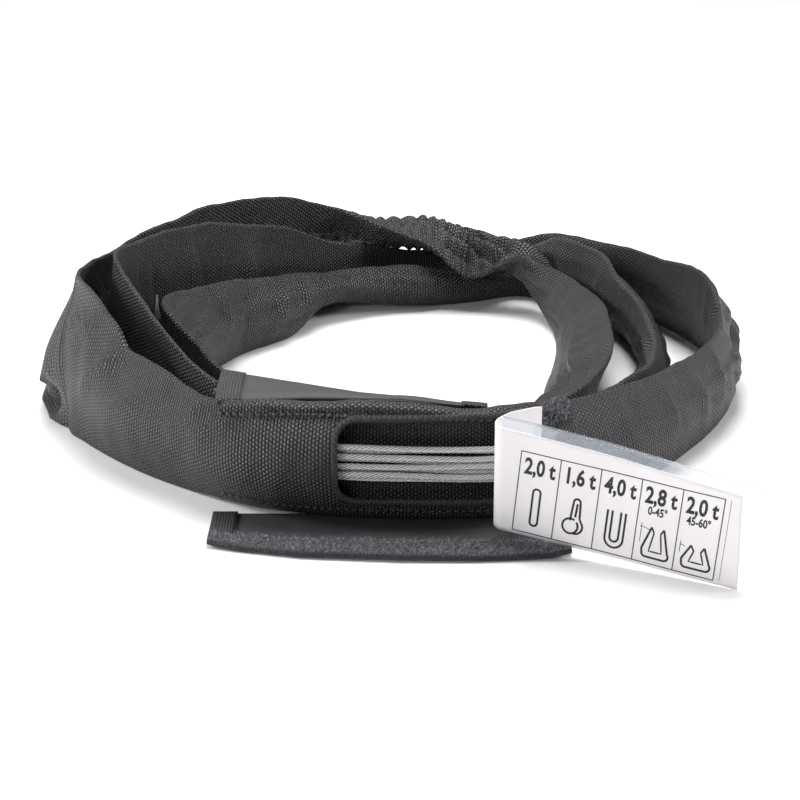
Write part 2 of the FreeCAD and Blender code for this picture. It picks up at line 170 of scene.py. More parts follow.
# Lie of the sleeve, clockwise from above, in mm from the middle of the coil:
# bottom fold, top fold, outward bulge, inward bulge.
STATIONS = [
    ((78, -147, 1), (72, -136, 47), 9, 6),
    ((44, -160, 1), (42, -156, 51), 11, 5),
    ((0, -162, 1), (0, -159, 53), 12, 5),
    ((-42, -156, 1), (-42, -157, 54), 12, 5),
    ((-76, -141, 1), (-78, -148, 51), 9, 5),
    ((-107, -117, 0), (-101, -126, 54), 7, 6),
    ((-132, -91, 0), (-121, -104, 60), 7, 6),
    ((-151, -66, 0), (-139, -77, 74), 7, 6),
    ((-159, -52, 0), (-152, -50, 78), 6, 6),
    ((-160, -22, 0), (-151, -28, 77), 6, 6),
    ((-160, 14, 0), (-144, 0, 75), 7, 6),
    ((-149, 54, 0), (-128, 42, 74), 7, 6),
    ((-120, 100, 2), (-102, 88, 75), 7, 6),
    ((-92, 138, 12), (-71, 124, 70), 7, 6),
    ((-58, 166, 24), (-37, 151, 58), 6.5, 6.5),
    ((-28, 180, 31), (-8, 149, 45), 6.5, 6.5),
    ((10, 185, 36), (16, 146, 37), 6, 6),
    ((42, 178, 37), (38, 139, 20), 6.5, 6),
    ((62, 162, 32), (54, 136, 26), 6, 6),
    ((74, 146, 15), (66, 132, 34), 6, 6),
    ((82, 120, 2), (80, 128, 30), 6, 6),
    ((85, 98, 0), (94, 108, 29), 6, 6),
    ((84, 67, 0), (106, 72, 29), 6, 6),
    ((79, 30, 0), (107, 30, 32), 6, 6),
    ((73, -2, 0), (106, -8, 33), 6, 6),
    ((72, -42, 0), (100, -46, 34), 6, 6),
    ((60, -84, 0), (80, -88, 33), 6, 6),
    ((34, -112, 0), (40, -118, 32), 6, 6),
    ((0, -120, 0), (0, -123, 35), 6, 6),
    ((-38, -114, 0), (-40, -118, 38), 6, 6),
    ((-72, -92, 0), (-76, -98, 44), 6, 6),
    ((-92, -58, 0), (-96, -64, 49), 6, 6),
    ((-104, -18, 0), (-116, -20, 55), 6, 6),
    ((-102, 20, 0), (-106, 22, 50), 6, 6),
    ((-86, 60, 0), (-86, 62, 41), 6, 6),
    ((-60, 92, 0), (-62, 102, 33), 6, 6),
    ((-42, 120, 9), (-40, 126, 27), 6, 6),
    ((-16, 138, 5), (-16, 138, 26), 6, 6),
    ((12, 144, 2), (12, 146, 25), 6, 6),
    ((41, 156, 0), (41, 158, 18), 7, 6.5),
    ((68, 167, 0), (68, 167, 26), 6.5, 5.5),
    ((93, 150, 0), (89, 147, 41), 6, 6),
    ((112, 117, 0), (107, 110, 44), 6, 6),
    ((125, 76, 0), (116, 70, 40), 6, 6),
    ((130, 34, 0), (124, 28, 37), 6, 6),
    ((129, -12, 0), (125, -16, 35), 6, 6),
    ((118, -56, 0), (118, -58, 36), 6, 6),
    ((94, -94, 0), (96, -94, 37), 6, 6),
    ((48, -130, 0), (48, -132, 34), 6, 6),
    ((0, -139, 0), (0, -140, 38), 6, 6),
    ((-46, -133, 0), (-46, -136, 43), 6, 6),
    ((-80, -115, 0), (-80, -121, 49), 6, 6),
    ((-106, -88, 0), (-103, -95, 59), 6, 6),
    ((-124, -60, 0), (-118, -66, 67), 6, 6),
    ((-141, -20, 0), (-138, -22, 80), 6, 6),
    ((-140, 14, 0), (-128, 12, 78), 6, 6),
    ((-122, 48, 0), (-112, 46, 75), 6, 6),
    ((-96, 86, 0), (-90, 80, 68), 6, 6),
    ((-70, 122, 0), (-64, 112, 57), 6, 6),
    ((-42, 150, 0), (-36, 138, 41), 6, 6),
    ((-10, 162, 0), (-8, 160, 32), 6, 6),
    ((36, 176, 0), (38, 176, 25), 6, 6),
    ((70, 185, 0), (68, 184, 30), 6, 6),
    ((97, 172, 0), (93, 166, 37), 6, 6),
    ((130, 137, 0), (125, 126, 41), 6, 6),
    ((156, 88, 0), (150, 78, 46), 6, 6),
    ((168, 42, 0), (159, 40, 49), 6, 6),
    ((166, -4, 0), (160, -2, 42), 6, 6),
    ((158, -34, 0), (153, -34, 43), 6, 6),
    ((141, -70, 0), (134, -70, 43), 7, 6),
    ((112, -114, 0), (103, -110, 44), 8, 6),
]
COUNT = len(STATIONS)


def eased(values, t):
    """Smooth closed curve through the stations' values, at station number t."""
    base = np.floor(t).astype(int)
    f = (t - base)[:, None]
    p0, p1, p2, p3 = (values[(base + k) % COUNT] for k in (-1, 0, 1, 2))
    return 0.5 * (2 * p1 + (p2 - p0) * f + (2 * p0 - 5 * p1 + 4 * p2 - p3) * f ** 2
                  + (3 * p1 - p0 - 3 * p2 + p3) * f ** 3)


def ripple(x, y, seed):
    """Smooth uneven field between about -1 and 1."""
    dice = np.random.default_rng(seed)
    total = 0.0
    for _ in range(7):
        angle, size, phase = dice.uniform(0, 2 * math.pi), dice.uniform(0.6, 1.7), dice.uniform(0, 6.3)
        total = total + np.sin((x * math.cos(angle) + y * math.sin(angle)) * size * 2 * math.pi + phase)
    return total / 3.2


def lie(t):
    """Bottom fold, top fold, bulges and directions of the sleeve at station numbers t."""
    low = eased(np.array([s[0] for s in STATIONS], float), t)
    high = eased(np.array([s[1] for s in STATIONS], float), t)
    bulge = eased(np.array([s[2:] for s in STATIONS], float), t)
    step = 0.02
    middle = [eased(np.array([np.add(s[0], s[1]) / 2 for s in STATIONS], float), t + k)
              for k in (-step, step)]
    ahead = middle[1] - middle[0]
    ahead /= np.linalg.norm(ahead, axis=1)[:, None]
    up = high - low
    height = np.linalg.norm(up, axis=1)
    outward = np.cross(up, ahead)
    outward /= np.linalg.norm(outward, axis=1)[:, None]
    return low, high, bulge, height, outward, ahead


def bell(x, middle, width):
    return np.exp(-((x - middle) / width) ** 2)


SIDE = 24                             # facets from one fold to the other
COARSE, FINE = 12, 22                 # rings between two stations
WALL = 1.1
ROPE_SPACE = 6.6                      # half the height of the rope bundle inside
ring_t = []
for station in range(COUNT):
    steps = FINE if station in (COUNT - 1, 0, 1, 2, 3, 7, 8, 14, 15, 16, 17, 35) else COARSE
    ring_t.extend(station + k / steps for k in range(steps))
ring_t = np.array(ring_t)
low, high, bulge, height, outward, ahead = lie(ring_t)
middle = (low + high) / 2
run = np.linalg.norm(np.roll(middle, -1, 0) - middle, axis=1)
LENGTH = run.sum()
ring_s = np.concatenate(([0.0], np.cumsum(run)))[:-1]

share = (1 - np.cos(np.pi * np.arange(SIDE + 1) / SIDE)) / 2
window_leg = np.clip(1.6 - np.abs((ring_t - 1.5 + COUNT / 2) % COUNT - COUNT / 2) / 3.4, 0, 1)


def ridge(s, h, station, height, slant, long, wide):
    """Short raised crease in the cloth, at a place along the sleeve and up its side."""
    ds, dh = s - np.interp(station, ring_t, ring_s), h - height
    along = ds * math.cos(slant) + dh * math.sin(slant)
    across = dh * math.cos(slant) - ds * math.sin(slant)
    return np.exp(-(along / long) ** 2 - (across / wide) ** 2)


def side_skin(side):
    """How far one wall of the sleeve stands out, ring by ring, from bottom fold to top."""
    sign = 1 if side == 0 else -1
    f = share[None, :]
    full = bulge[:, side][:, None]
    tall = np.clip((height - 34) / 36, 0, 1)[:, None]
    reach = np.minimum(f, 1 - f) * height[:, None]
    fold = 1.1 * np.sqrt(np.clip(1 - (1 - np.clip(reach / 1.1, 0, 1)) ** 2, 0, 1))
    power = (1.0 + 0.75 * tall) * (1 - window_leg[:, None]) + 0.8 * window_leg[:, None]
    out = fold + np.maximum(full - 1.1, 0) * np.sin(np.pi * f) ** power
    s = ring_s[:, None] + 0 * f
    t = ring_t[:, None] + 0 * f
    h = f * height[:, None]
    soft = np.sin(np.pi * f) ** 0.6
    out = out + soft * 0.9 * ripple(s / 70, h / 55 + side * 9, 3)
    out = out + soft * 0.4 * ripple(s / 22, h / 40 + side * 5, 4)
    slack = np.clip((76 - height) / 40, 0, 1)[:, None] * (1 - 0.85 * window_leg[:, None])
    away = np.clip(0.5 + sign * middle[:, 1][:, None] / 90, 0.15, 1)
    pleat = np.sin(2 * np.pi * (h / 10.5 + 0.9 * ripple(s / 260, h * 0 + side * 3, 5)) + side * 2)
    pleat_size = slack * np.sin(np.pi * f) * away * (0.7 + 0.3 * ripple(s / 120, h * 0, 6))
    out = out + pleat_size * (5.5 * pleat + 2.4)
    from_middle = np.abs(h - height[:, None] / 2)
    tuck_at = np.maximum(0.22 * height[:, None], ROPE_SPACE + 1.3)
    tuck = np.minimum(7.0, 2 * out - 2.6) * bell(from_middle, tuck_at, 1.3)
    out = out - tuck * np.sqrt(slack) * away * (1 - window_leg[:, None])
    gather = bell(t, 16.2, 1.9) + 0.5 * bell(t, 35.6, 0.9)
    gather = gather + 0.45 * bell(t, 38.2, 1.6) + 0.4 * bell(t, 60.5, 2.0)
    fan = np.sin(s / 6.6 * 2 * np.pi + 2.4 * ripple(s / 40, h / 30, 7) + 0.05 * h)
    out = out + soft * gather * (2.4 * np.sqrt(0.5 + 0.5 * fan) - 1.2)
    for station, tall_at, slant, long, wide, size in (
            (7.55, 62, 2.5, 10, 2.6, 1.6), (7.15, 60, 2.35, 13, 3.0, 2.0), (6.35, 52, 2.25, 14, 3.2, 2.2),
            (6.75, 36, 2.0, 18, 4.0, 1.2), (5.6, 40, 2.6, 16, 3.6, 1.2), (4.4, 45, 2.2, 9, 2.0, 1.3),
            (4.1, 40, 2.6, 10, 2.0, 1.1), (3.8, 44, 2.9, 8, 1.6, 0.9)):
        out = out + (side == 0) * size * ridge(s, h, station, tall_at, slant, long, wide)
    for station, tall_at, slant, long, wide, size in (
            (33.6, 30, 1.9, 16, 3.4, 3.4), (34.1, 26, 1.3, 14, 3.4, -3.6), (34.7, 20, 1.1, 14, 3.2, 3.2),
            (35.3, 17, 1.7, 12, 2.8, 3.0), (56.2, 44, 1.6, 22, 4.0, 2.6), (55.4, 40, 1.9, 20, 4.5, -2.8),
            (57.3, 38, 1.4, 20, 4.0, 2.8), (11.6, 50, 1.5, 20, 5.0, 1.6), (42.3, 26, 1.2, 14, 3.4, 1.6),
            (66.2, 26, 1.8, 15, 3.6, 1.7), (24.6, 18, 1.5, 12, 3.4, 1.6)):
        out = out + (side == 1) * size * ridge(s, h, station, tall_at, slant, long, wide)
    for station, tall_at, slant, long, wide, size in (
            (69.0, 24, 1.4, 16, 3.2, 1.5), (69.6, 22, 1.7, 15, 3.0, 1.3), (68.4, 27, 1.5, 15, 3.4, 1.6),
            (67.6, 25, 1.7, 14, 3.2, 1.4)):
        out = out + (side == 0) * size * ridge(s, h, station, tall_at, slant, long, wide)
    if side == 0:
        out = out + 2.2 * bell(t, 8.02, 0.1) * soft
        x = middle[:, 0][:, None]
        hem = 1 / (1 + np.exp((-x - 80) / 1.5)) / (1 + np.exp((x - 55) / 1.5)) * window_leg[:, None]
        z = h + low[:, 2][:, None]
        below_top = height[:, None] - h
        pucker = 0.75 + 0.25 * np.sin(s / 3.2 * 2 * np.pi)
        out = out - hem * 1.6 * bell(below_top, 4.4, 1.0) * pucker
        out = out + hem * 0.7 * np.clip((4.0 - below_top) / 1.2, 0, 1)
        out = out - hem * 0.9 * bell(z, 6.2, 1.0) * pucker
    out = np.where(from_middle < ROPE_SPACE, np.maximum(out, 3.9), out)
    return out, sign


def belly(t, f):
    """Low sideways belly of the first turn at its left end, with a crease along it."""
    size = 19 * np.interp(t, (8.1, 8.5, 9.2, 10.4, 12.2), (0, 0.6, 1, 0.9, 0))
    crease = np.interp(t, (8.2, 9.2, 12), (0.36, 0.12, 0.2))
    above = np.clip((1 - f) / (1 - crease), 0, 1) ** 1.5
    hollow = 0.04 + 0.86 * bell(t, 8.7, 0.5)
    below = 1 - hollow * np.sin(math.pi * np.clip((crease - f) / crease, 0, 1))
    return size * np.where(f > crease, above, below)


def build_sleeve():
    """Vertices of the tube, one ring after another: up the outside, down the inside."""
    columns = []
    for side in (0, 1):
        out, sign = side_skin(side)
        line = low[:, None, :] + (high - low)[:, None, :] * share[None, :, None]
        line = line + outward[:, None, :] * belly(ring_t[:, None], share[None, :])[:, :, None]
        columns.append(line + outward[:, None, :] * (sign * out)[:, :, None])
    outer, inner = columns
    fold_wave = 0.8 * ripple(ring_s / 45, ring_s * 0, 11) + 0.35 * ripple(ring_s / 14, ring_s * 0, 12)
    fold_wave = fold_wave + 3.0 * np.tanh((ring_t - 6.25) / 0.1) * bell(ring_t, 6.25, 0.35)
    crest = np.concatenate((outer, inner[:, -2:0:-1]), axis=1)
    lift = np.zeros(crest.shape[1])
    lift[:SIDE + 1] = share ** 4
    lift[SIDE + 1:] = share[-2:0:-1] ** 4
    crest[:, :, 2] += fold_wave[:, None] * lift[None, :]
    crest[:, :, 2] = np.maximum(crest[:, :, 2], 0.05)
    return crest


grid = build_sleeve()
RINGS, AROUND = grid.shape[:2]
points = ((grid + COIL) * MM).reshape(-1, 3)
faces = [(i * AROUND + j, i * AROUND + (j + 1) % AROUND,
          ((i + 1) % RINGS) * AROUND + (j + 1) % AROUND, ((i + 1) % RINGS) * AROUND + j)
         for i in range(RINGS) for j in range(AROUND)]
whole_tube = BVHTree.FromPolygons([tuple(p) for p in points], faces)

WINDOW_X, WINDOW_Z, WINDOW_CORNER = (-27.0, 58.0), (12.0, 47.0), 8.0


def window_gap(x, z):
    """Distance from the window's edge, negative inside it, in mm."""
    cx, cz = sum(WINDOW_X) / 2, sum(WINDOW_Z) / 2
    dx = np.abs(x - cx) - (WINDOW_X[1] - cx) + WINDOW_CORNER
    dz = np.abs(z - cz) - (WINDOW_Z[1] - cz) + WINDOW_CORNER
    outside = np.hypot(np.maximum(dx, 0), np.maximum(dz, 0))
    return outside + np.minimum(np.maximum(dx, dz), 0) - WINDOW_CORNER


def open_window():
    """Faces left after the window is cut, with the hole's rim moved on to its outline."""
    front = np.zeros((RINGS, AROUND), bool)
    front[:, 1:SIDE] = True
    front &= (grid[:, :, 1] < -120) & (bell(ring_t, 2, 4)[:, None] + bell(ring_t, COUNT, 2)[:, None] > 0.3)
    flat = grid.reshape(-1, 3)
    is_front = front.reshape(-1)
    kept, rim = [], set()
    for face in faces:
        centre = flat[list(face)].mean(axis=0)
        if all(is_front[list(face)]) and window_gap(centre[0], centre[2]) < 0:
            rim.update(face)
        else:
            kept.append(face)
    used = set(v for face in kept for v in face)
    for v in rim & used:
        i, j = divmod(v, AROUND)
        for _ in range(3):
            x, z = grid[i, j, 0], grid[i, j, 2]
            gap = window_gap(x, z)
            e = 0.01
            gx = (window_gap(x + e, z) - gap) / e
            gz = (window_gap(x, z + e) - gap) / e
            along = (base[(i + 1) % RINGS, j] - base[i - 1, j]) / 2
            rise = (base[i, j + 1] - base[i, j - 1]) / 2
            push = np.linalg.solve([[along[0], rise[0]], [along[2], rise[2]]],
                                   [-gap * gx, -gap * gz])
            grid[i, j] = grid[i, j] + along * push[0] + rise * push[1]
    return kept, rim - used


base = grid.copy()
kept_faces, cut_out = open_window()


def cloth_mesh(name, verts, quads, corner_uv, material):
    """Mesh object in metres with a map in metres called weave."""
    mesh = bpy.data.meshes.new(name)
    mesh.from_pydata([tuple(p) for p in verts], [], quads)
    layer = mesh.uv_layers.new(name="weave")
    layer.data.foreach_set("uv", np.asarray(corner_uv, float).ravel())
    mesh.polygons.foreach_set("use_smooth", [True] * len(mesh.polygons))
    mesh.materials.append(material)
    piece = bpy.data.objects.new(name, mesh)
    bpy.context.scene.collection.objects.link(piece)
    return piece


def apply_modifiers(piece):
    bpy.ops.object.select_all(action="DESELECT")
    bpy.context.view_layer.objects.active = piece
    piece.select_set(True)
    for modifier in list(piece.modifiers):
        bpy.ops.object.modifier_apply(modifier=modifier.name)
    piece.select_set(False)


def thicken(piece, wall, offset=-1.0):
    solid = piece.modifiers.new("wall", "SOLIDIFY")
    solid.thickness, solid.offset, solid.use_even_offset = wall, offset, False
    apply_modifiers(piece)


def make_sleeve():
    steps = np.linalg.norm(np.diff(base, axis=1, append=base[:, :1]), axis=2)
    arc = np.concatenate((np.zeros((RINGS, 1)), np.cumsum(steps, axis=1)), axis=1)
    turned = arc.copy()
    turned[:, :SIDE + 1] -= arc[:, SIDE // 2][:, None]
    back = arc - arc[:, SIDE + SIDE // 2][:, None]
    ends = np.append(ring_s, LENGTH)
    corner_uv = []
    for a, b, c, d in kept_faces:
        i, j = divmod(a, AROUND)
        v = turned if j < SIDE else back
        n = (i + 1) % RINGS
        corner_uv += [(ends[i], v[i, j]), (ends[i], v[i, j + 1]),
                      (ends[i + 1], v[n, j + 1]), (ends[i + 1], v[n, j])]
    keep = sorted(set(range(RINGS * AROUND)) - cut_out)
    renumber = {v: k for k, v in enumerate(keep)}
    verts = ((grid.reshape(-1, 3) + COIL) * MM)[keep]
    quads = [tuple(renumber[v] for v in face) for face in kept_faces]
    piece = cloth_mesh("woven_sleeve", verts, quads, np.array(corner_uv) * MM, sleeve_cloth)
    thicken(piece, WALL * MM)
    for vertex in piece.data.vertices:
        vertex.co.z = max(vertex.co.z, 0.02 * MM)
    return piece


sleeve = make_sleeve()
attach(sleeve, "root")
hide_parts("sleeve")


# Window edging: a woven tape, folded over the cut edge of the window and sewn down. It stands
# a little proud of the sleeve all round.
def front_place(x, z):
    """Place and outward direction on the sleeve's front wall."""
    start = Vector(((x + COIL[0]) * MM, -0.4, z * MM))
    place, normal, _, _ = whole_tube.ray_cast(start, Vector((0, 1, 0)))
    if place is None:
        place, normal, _, _ = whole_tube.find_nearest(Vector((start.x, -0.13, start.z)))
    if normal.y > 0:
        normal = -normal
    return np.array(place), np.array(normal)


def window_outline(grow, count=132):
    """Points round the window, clockwise from its upper right corner, grown outwards."""
    (x0, x1), (z0, z1), r = WINDOW_X, WINDOW_Z, WINDOW_CORNER
    corners = ((x1 - r, z1 - r, 90), (x1 - r, z0 + r, 0), (x0 + r, z0 + r, -90), (x0 + r, z1 - r, -180))
    outline = []
    for cx, cz, start in corners:
        for k in range(9):
            angle = math.radians(start - 90 * k / 8)
            outline.append((cx + (r + grow) * math.cos(angle), cz + (r + grow) * math.sin(angle)))
    outline = np.array(outline + [outline[0]])
    length = np.concatenate(([0], np.cumsum(np.linalg.norm(np.diff(outline, axis=0), axis=1))))
    even = np.linspace(0, length[-1], count, endpoint=False)
    return np.stack([np.interp(even, length, outline[:, k]) for k in (0, 1)], axis=1), length[-1]


def make_window_edging():
    section = ((0.25, -1.5), (-0.25, -0.9), (-0.35, 0.1), (0.1, 0.75), (0.9, 0.95), (1.8, 0.85),
               (2.4, 0.5), (2.65, 0.0), (1.4, -0.2))
    rows = []
    for grow, proud in section:
        outline, total = window_outline(max(grow, 0.02) if grow > 0 else 0.02)
        row = []
        for x, z in outline:
            place, normal = front_place(x, z)
            centre = np.array([sum(WINDOW_X) / 2, 0, sum(WINDOW_Z) / 2])
            inward = centre - np.array([x, 0, z])
            inward /= np.linalg.norm(inward)
            row.append(place + normal * proud * MM + inward * max(-grow, 0) * MM)
        rows.append(row)
    count = len(rows[0])
    verts = [p for row in rows for p in row]
    quads, corner_uv = [], []
    for r in range(len(rows)):
        for k in range(count):
            a, b = r * count + k, r * count + (k + 1) % count
            n = (r + 1) % len(rows)
            quads.append((a, b, n * count + (k + 1) % count, n * count + k))
            u0, u1 = total * k / count * MM, total * (k + 1) / count * MM
            corner_uv += [(u0, r * MM), (u1, r * MM), (u1, (r + 1) * MM), (u0, (r + 1) * MM)]
    # Edging tape: near-black painted shade in the weave's gaps and grey painted glint on its crowns.
    material = woven("binding_cloth", 0.0016, 0.0011, (0.005, 0.005, 0.0055),
                     (0.06, 0.058, 0.06), 0.0004, 0.5)
    piece = cloth_mesh("window_edging", verts, quads, corner_uv, material)
    point_outwards(piece)
    return piece


def point_outwards(piece):
    """Turns the faces of a closed shell to the outside."""
    mesh = bmesh.new()
    mesh.from_mesh(piece.data)
    bmesh.ops.remove_doubles(mesh, verts=mesh.verts, dist=1e-6)
    bmesh.ops.recalc_face_normals(mesh, faces=mesh.faces)
    mesh.to_mesh(piece.data)
    mesh.free()


edging = make_window_edging()
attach(edging, "root")
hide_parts("window_binding")


# Rope core: galvanised wire rope of 2.5 mm, eight turns side by side inside the sleeve. Each
# is six strands laid round a heart. The turns spread a little where the window shows them.
ROPE_R = 1.25
TURNS = 8
LAY = 14.0                            # length of one turn of a strand round the rope


def rope_steel():
    steel = Finish("rope_steel", 0.32, Metallic=0.15)
    u, v = steel.uv("weave")
    strand = (v * (6 * math.pi)).math("COSINE").math("ABSOLUTE")
    wires = ((u / 0.0012 + v * 9.0) * (2 * math.pi)).math("SINE") * 0.5 + 0.5
    zinc = steel.noise(260.0, 2.0)
    strand_relief_and_groove_shade = (strand ** 0.8) * (wires * 0.3 + 0.7)
    # Base colour: painted shade in the grooves between the strands and light strand tops; the wires add a
    # faint lay. The same map drives the relief.
    steel.put("Base Color", steel.mix(strand_relief_and_groove_shade, (0.14, 0.14, 0.143), (0.99, 0.99, 1.0)))
    steel.put("Roughness", zinc * 0.2 + 0.24)
    steel.relief(strand_relief_and_groove_shade, 0.0003)
    return steel.material


rope_metal = rope_steel()


def rope_route(turn, t):
    """Middle line of one turn at station numbers t."""
    low, high, bulge, height, outward, ahead = lie(t)
    up = high - low
    up /= np.linalg.norm(up, axis=1)[:, None]
    near = np.clip(1.25 - np.abs((t - 1.5 + COUNT / 2) % COUNT - COUNT / 2) / 2.6, 0, 1)
    pitch = 1.46 + (2.1 - 1.46) * np.minimum(near * 2, 1)
    rise = (turn - (TURNS - 1) / 2) * pitch
    rise = rise + near * 0.5 * ripple(t / 1.6, t * 0 + turn * 3.1, 21 + turn)
    column = 1.4 if turn % 2 else -1.4
    lead = (bulge[:, 0] - bulge[:, 1]) / 2
    out = column + lead + belly(t, 0.5 + rise / height)
    return (low + high) / 2 + up * rise[:, None] + outward * out[:, None]


def make_rope(turn):
    t = np.concatenate((np.arange(-0.9, 3.2, 0.008), np.arange(3.2, COUNT - 0.9, 0.14)))
    line = rope_route(turn, t % COUNT)
    ahead = np.roll(line, -1, 0) - np.roll(line, 1, 0)
    ahead /= np.linalg.norm(ahead, axis=1)[:, None]
    side = np.cross(ahead, (0, 0, 1.0))
    side /= np.linalg.norm(side, axis=1)[:, None]
    over = np.cross(side, ahead)
    steps = np.linalg.norm(np.roll(line, -1, 0) - line, axis=1)
    travel = np.concatenate(([0], np.cumsum(steps)))
    round_lay = travel[-1] / round(travel[-1] / LAY)
    facets = 30
    angle = 2 * np.pi * np.arange(facets) / facets
    phase = (2 * np.pi * travel[:-1] / round_lay)[:, None]
    radius = ROPE_R * (0.74 + 0.28 * np.abs(np.cos(3 * (angle[None, :] - phase))) ** 0.7)
    ring = (line[:, None, :] + side[:, None, :] * (radius * np.cos(angle))[:, :, None]
            + over[:, None, :] * (radius * np.sin(angle))[:, :, None])
    count = len(t)
    verts = ((ring + COIL) * MM).reshape(-1, 3)
    quads, corner_uv = [], []
    for i in range(count):
        n = (i + 1) % count
        for j in range(facets):
            m = (j + 1) % facets
            quads.append((i * facets + j, n * facets + j, n * facets + m, i * facets + m))
            u0, u1 = travel[i] * MM, travel[i + 1] * MM
            v0, v1 = j / facets, (j + 1) / facets
            p0, p1 = travel[i] / round_lay, travel[i + 1] / round_lay
            corner_uv += [(u0, v0 - p0), (u1, v0 - p1), (u1, v1 - p1), (u0, v1 - p0)]
    piece = cloth_mesh(f"wire_rope_{turn + 1}", verts, quads, corner_uv, rope_metal)
    point_outwards(piece)
    return piece


for turn in range(TURNS):
    rope = make_rope(turn)
    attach(rope, "root")
    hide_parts(f"rope_turn_{turn + 1}")


# Ties and ferrule of the core: bands of cloth tape and one pressed aluminium sleeve, hidden
# inside. They keep their own shapes and get a finish.
def tape_finish():
    tape = Finish("tie_tape", 0.6)
    grain = tape.noise(900.0, 2.0)
    tape.put("Base Color", tape.mix(grain, (0.3, 0.29, 0.27), (0.5, 0.49, 0.46)))
    tape.relief(grain, 0.0001)
    return tape.material


def ferrule_finish():
    metal = Finish("ferrule_metal", 0.35, Metallic=1.0)
    grain = metal.noise(1200.0, 3.0)
    metal.put("Base Color", metal.mix(grain, (0.5, 0.51, 0.52), (0.8, 0.81, 0.82)))
    metal.put("Roughness", grain * 0.3 + 0.25)
    return metal.material


def refinish(node, material):
    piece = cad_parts[node]
    piece.data.materials.clear()
    piece.data.materials.append(material)


tie_tape = tape_finish()
for number in (1, 2, 3):
    refinish(f"core_tie_{number}", tie_tape)
refinish("end_ferrule", ferrule_finish())


# Thread rows: black polyester lockstitch along the top of the window leg and along its foot,
# where the flap is sewn on. Each stitch is a short, slightly sunk thread.
def thread_finish():
    thread = Finish("black_thread", 0.45)
    twist = thread.noise(1500.0, 1.0)
    thread.put("Base Color", thread.mix(twist, (0.008, 0.008, 0.009), (0.05, 0.05, 0.055)))
    thread.relief(twist, 0.0001)
    return thread.material


black_thread = thread_finish()


def stitches(name, ends, thick, material):
    """Rounded stitches between pairs of (start, end, outward) in metres."""
    verts, quads = [], []
    facets, rings = 6, 5
    for start, end, out in ends:
        along = end - start
        length = np.linalg.norm(along)
        along = along / length
        across = np.cross(along, out)
        across /= np.linalg.norm(across)
        first = len(verts)
        for r in range(rings):
            f = r / (rings - 1)
            size = thick * (0.35 + 0.65 * math.sin(math.pi * f) ** 0.6)
            centre = start + along * length * f + out * thick * (math.sin(math.pi * f) - 0.45)
            for k in range(facets):
                a = 2 * math.pi * k / facets
                verts.append(centre + across * size * math.cos(a) + out * size * math.sin(a))
        for r in range(rings - 1):
            for k in range(facets):
                m = (k + 1) % facets
                quads.append((first + r * facets + k, first + r * facets + m,
                              first + (r + 1) * facets + m, first + (r + 1) * facets + k))
        quads.append(tuple(first + k for k in range(facets))[::-1])
        quads.append(tuple(first + (rings - 1) * facets + k for k in range(facets)))
    corner_uv = [(0, 0)] * sum(len(q) for q in quads)
    piece = cloth_mesh(name, verts, quads, corner_uv, material)
    point_outwards(piece)
    return piece


def front_stitches(x_from, x_to, above_foot, under_top, pitch):
    """Stitches along the window leg, at a height over its foot or under its top fold."""
    near = (high[:, 1] < -120) & (high[:, 0] < 80) & ((ring_t < 6) | (ring_t > COUNT - 1))
    order = np.argsort(high[near][:, 0])
    top_x, top_z = high[near][order][:, 0], high[near][order][:, 2]
    ends = []
    for x in np.arange(x_from, x_to, pitch):
        z = above_foot if under_top is None else float(np.interp(x, top_x, top_z)) - under_top
        start, out = front_place(x, z)
        end, _ = front_place(x + pitch * 0.8, z)
        ends.append((start, end, out))
    return ends


hem_thread = stitches("hem_thread_row", front_stitches(-79, 54, None, 5.0, 3.4), 0.0008, black_thread)
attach(hem_thread, "root")
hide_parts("hem_thread")
foot_thread = stitches("flap_thread_row", front_stitches(-79, 60, 6.2, None, 3.4), 0.0008, black_thread)
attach(foot_thread, "root")
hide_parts("flap_thread")


# Flap: a strip of finer, smooth cloth that wraps the window leg from behind. Its middle stands
# behind the leg, one wing passes under it and lies in front, and the other leans back over
# the top. Coarse woven strips are sewn along both ends.
def flap_finish():
    cloth = Finish("flap_cloth", 0.62)
    u, v = cloth.uv("weave")
    fine = ((u / 0.0006 * 2 * math.pi).math("SINE") * (v / 0.0006 * 2 * math.pi).math("SINE")) * 0.5 + 0.5
    blotch = cloth.noise(35.0, 4.0)
    cloth.put("Base Color", cloth.mix(blotch * 0.7 + fine * 0.3, (0.03, 0.03, 0.032), (0.06, 0.06, 0.063)))
    cloth.put("Roughness", blotch * 0.15 + 0.52)
    cloth.relief(fine * 0.6 + blotch * 2.0, 0.00012)
    return cloth.material


flap_cloth = flap_finish()
# Strip cloth: near-black painted shade in the weave's gaps and grey painted glint on its crowns.
strip_cloth = woven("strip_cloth", 0.0017, 0.0013, (0.006, 0.006, 0.0065),
                    (0.06, 0.058, 0.06), 0.0004, 0.5)
LOWER_X = (-82.0, 72.0)
UPPER_X = (-80.0, 38.0)
STRIP = 11.0
LOWER_FOLD_Y, LOWER_FREE_Y = -165.0, -203.0
TAPE = 16.0
CLOTH = 0.8


def sheet_piece(name, surface, wide, deep, thick, material, scale, toward=1.0):
    """Cloth over a rectangle: surface(a, b) gives the place, a along and b across."""
    a, b = np.meshgrid(np.linspace(0, 1, wide + 1), np.linspace(0, 1, deep + 1), indexing="ij")
    place = surface(a, b)
    verts = ((place + COIL) * MM).reshape(-1, 3)
    quads, corner_uv = [], []
    for i in range(wide):
        for j in range(deep):
            k = i * (deep + 1) + j
            quads.append((k, k + deep + 1, k + deep + 2, k + 1))
            for p, q in ((i, j), (i + 1, j), (i + 1, j + 1), (i, j + 1)):
                corner_uv.append((p / wide * scale[0] * MM, q / deep * scale[1] * MM))
    piece = cloth_mesh(name, verts, quads, corner_uv, material)
    thicken(piece, thick * MM, toward)
    point_outwards(piece)
    return piece


